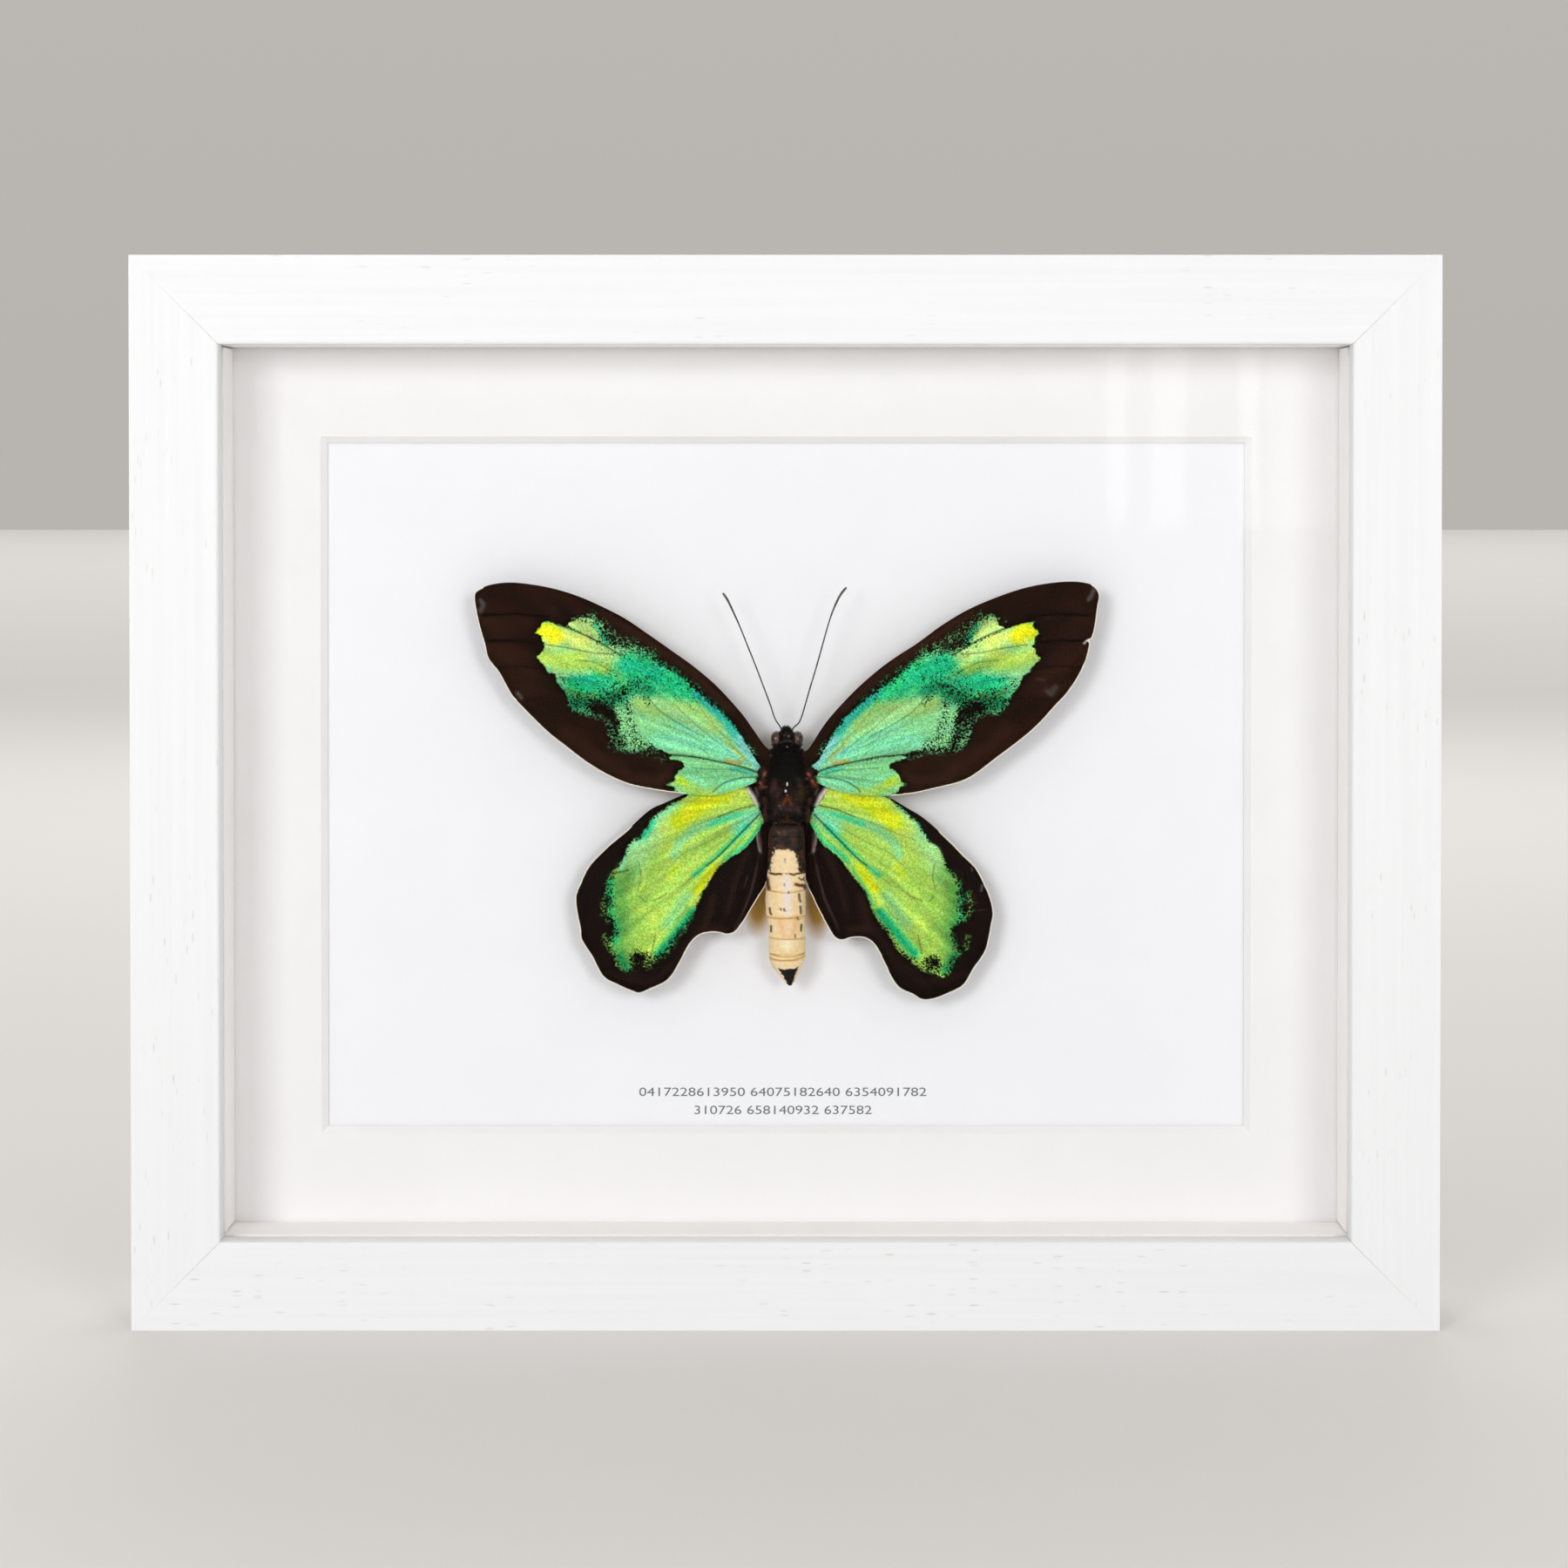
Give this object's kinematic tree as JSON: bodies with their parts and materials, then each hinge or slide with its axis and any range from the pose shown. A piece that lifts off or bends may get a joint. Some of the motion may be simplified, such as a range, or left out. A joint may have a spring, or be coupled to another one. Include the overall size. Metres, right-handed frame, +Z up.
{
  "type": "framed butterfly specimen",
  "caption": "Spread butterfly with black and green wings and a cream abdomen, pinned behind glass in a white mitred box frame with a bevelled mount board.",
  "frame": {"origin": "middle of the frame's footprint, on the surface that it stands on", "axes": "+X to the viewer's right along the frame's width, +Y from the front to the back, +Z up"},
  "size_m": [0.28, 0.038, 0.23],
  "materials": {
    "painted_timber": "satin",
    "picture_glass": "polished",
    "white_card": "matte",
    "foam_board": "matte",
    "fibreboard": "matte",
    "zinc_plated_steel": "satin",
    "scaled_wing": "satin",
    "dark_body_hair": "matte",
    "cream_abdomen": "matte",
    "dark_antenna": "satin",
    "stainless_pin": "polished"
  },
  "bodies": {
    "root": {"rail_top": "painted_timber", "rail_bottom": "painted_timber", "rail_left": "painted_timber", "rail_right": "painted_timber", "glass_pane": "picture_glass", "mount_board": "white_card", "spacer_top": "white_card", "spacer_bottom": "white_card", "spacer_left": "white_card", "spacer_right": "white_card", "backing_board": "foam_board", "back_board": "fibreboard", "hanger": "zinc_plated_steel", "hanger_rivet_left": "zinc_plated_steel", "hanger_rivet_right": "zinc_plated_steel", "tab_1": "zinc_plated_steel", "tab_2": "zinc_plated_steel", "tab_3": "zinc_plated_steel", "tab_4": "zinc_plated_steel", "tab_5": "zinc_plated_steel", "tab_6": "zinc_plated_steel", "tab_7": "zinc_plated_steel", "tab_8": "zinc_plated_steel", "forewing_left": "scaled_wing", "forewing_right": "scaled_wing", "hindwing_left": "scaled_wing", "hindwing_right": "scaled_wing", "head": "dark_body_hair", "thorax": "dark_body_hair", "abdomen": "cream_abdomen", "antenna_left": "dark_antenna", "antenna_right": "dark_antenna", "mounting_pin": "stainless_pin"}
  },
  "joints": []
}
